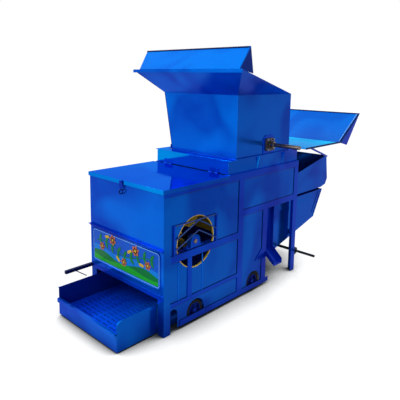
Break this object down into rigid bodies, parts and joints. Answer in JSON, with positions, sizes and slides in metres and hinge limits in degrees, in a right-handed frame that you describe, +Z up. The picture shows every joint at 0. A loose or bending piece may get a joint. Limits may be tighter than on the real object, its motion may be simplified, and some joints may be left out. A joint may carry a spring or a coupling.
{
  "type": "peanut thresher",
  "caption": "Angle-framed thresher: square flared hopper over a toothed drum, round side fan inlets, shaking slotted tray in front, outfeed table at the rear.",
  "frame": {"origin": "on the ground, under the middle of the whole machine's bounding box", "axes": "+X towards the drive side where both shafts stick out, +Y from the tray to the outfeed table, +Z up"},
  "size_m": [1.251, 2.916, 1.9269],
  "materials": {
    "blue_paint": "glossy",
    "sky_paint": "glossy",
    "picture_paint": "glossy",
    "ochre_paint": "satin",
    "black_paint": "satin",
    "bare_steel": "satin",
    "zinc_steel": "satin",
    "bearing_iron": "rough",
    "tyre_rubber": "matte"
  },
  "bodies": {
    "frame": {"front_posts": "blue_paint", "inner_posts": "blue_paint", "rear_posts": "blue_paint", "top_rails": "blue_paint", "side_rails": "blue_paint", "cross_rails": "blue_paint", "side_panel_right": "blue_paint", "side_panel_left": "blue_paint", "rear_panels": "blue_paint", "front_panel": "blue_paint", "front_plate": "picture_paint", "lid_hinges": "zinc_steel", "hasp_staple": "zinc_steel", "fan_bearings": "bearing_iron", "fan_scroll": "blue_paint", "inlet_rings": "ochre_paint", "inlet_struts": "blue_paint", "concave": "bare_steel", "bearing_stands": "blue_paint", "drum_bearings": "bearing_iron", "drum_housing": "blue_paint", "hopper_body": "blue_paint", "hopper_flare": "blue_paint", "hopper_guard": "sky_paint", "hopper_lugs": "blue_paint", "rocker_brackets": "blue_paint", "crank_bearings": "black_paint", "side_chute": "blue_paint", "tail_box": "blue_paint", "feed_table": "sky_paint", "table_supports": "blue_paint", "wheel_brackets": "blue_paint", "tray_stay": "blue_paint"},
    "lid": {"lid": "blue_paint", "lid_fittings": "zinc_steel"},
    "hasp": {"hasp": "zinc_steel"},
    "fan": {"fan_shaft": "bare_steel", "fan_spiders": "ochre_paint", "fan_blades": "ochre_paint"},
    "drum": {"drum_shaft": "bare_steel", "drum_rotor": "bare_steel", "drum_teeth": "bare_steel"},
    "shoe": {"shoe_side_right": "blue_paint", "shoe_side_left": "blue_paint", "shoe_floor": "blue_paint", "shoe_back": "blue_paint", "tray_front": "blue_paint", "sieve_plate": "blue_paint"},
    "rockers": {"rockers": "black_paint"},
    "hangers": {"hangers": "black_paint"},
    "crank": {"eccentric_shaft": "black_paint"},
    "con_rods": {"con_rods": "black_paint"},
    "wheel_front_right": {"tyre_front_right": "tyre_rubber", "hub_front_right": "blue_paint"},
    "wheel_front_left": {"tyre_front_left": "tyre_rubber", "hub_front_left": "blue_paint"},
    "wheel_rear_right": {"tyre_rear_right": "tyre_rubber", "hub_rear_right": "blue_paint"},
    "wheel_rear_left": {"tyre_rear_left": "tyre_rubber", "hub_rear_left": "blue_paint"}
  },
  "joints": [
    {"name": "lid_hinge", "type": "hinge", "parent": "frame", "child": "lid", "pos_m": [-0.0525, -0.464, 1.002], "axis": [-1, 0, 0], "range_deg": [0, 80]},
    {"name": "hasp_hinge", "type": "hinge", "parent": "lid", "child": "hasp", "pos_m": [-0.0645, -1.13, 0.994], "axis": [-1, 0, 0], "range_deg": [0, 110]},
    {"name": "fan_spin", "type": "hinge", "parent": "frame", "child": "fan", "pos_m": [-0.0525, -0.807, 0.593], "axis": [1, 0, 0], "continuous": true},
    {"name": "drum_spin", "type": "hinge", "parent": "frame", "child": "drum", "pos_m": [-0.0525, 0.042, 1.186], "axis": [1, 0, 0], "continuous": true},
    {"name": "shoe_shake", "type": "slide", "parent": "frame", "child": "shoe", "axis": [0, 1, 0], "range_m": [-0.006, 0.006]},
    {"name": "rocker_swing", "type": "hinge", "parent": "frame", "child": "rockers", "pos_m": [-0.0525, 0.54, 0.33], "axis": [1, 0, 0], "range_deg": [-2, 2]},
    {"name": "hanger_swing", "type": "hinge", "parent": "frame", "child": "hangers", "pos_m": [-0.0525, -1.052, 0.372], "axis": [1, 0, 0], "range_deg": [-2, 2]},
    {"name": "crank_spin", "type": "hinge", "parent": "frame", "child": "crank", "pos_m": [-0.0525, 0.522, 0.165], "axis": [1, 0, 0], "continuous": true},
    {"name": "rod_swing", "type": "hinge", "parent": "crank", "child": "con_rods", "pos_m": [-0.0525, 0.522, 0.171], "axis": [1, 0, 0], "continuous": true},
    {"name": "wheel_front_right_spin", "type": "hinge", "parent": "frame", "child": "wheel_front_right", "pos_m": [0.3265, -0.802, 0.08], "axis": [1, 0, 0], "continuous": true},
    {"name": "wheel_front_left_spin", "type": "hinge", "parent": "frame", "child": "wheel_front_left", "pos_m": [-0.4315, -0.802, 0.08], "axis": [1, 0, 0], "continuous": true},
    {"name": "wheel_rear_right_spin", "type": "hinge", "parent": "frame", "child": "wheel_rear_right", "pos_m": [0.3265, -0.127, 0.08], "axis": [1, 0, 0], "continuous": true},
    {"name": "wheel_rear_left_spin", "type": "hinge", "parent": "frame", "child": "wheel_rear_left", "pos_m": [-0.4315, -0.127, 0.08], "axis": [1, 0, 0], "continuous": true}
  ],
  "couplings": [
    {"joint": "rocker_swing", "follows": "shoe_shake", "rad_per_m": -5.3476},
    {"joint": "hanger_swing", "follows": "shoe_shake", "rad_per_m": 5.3476},
    {"joint": "rod_swing", "follows": "crank_spin", "ratio": -1}
  ]
}
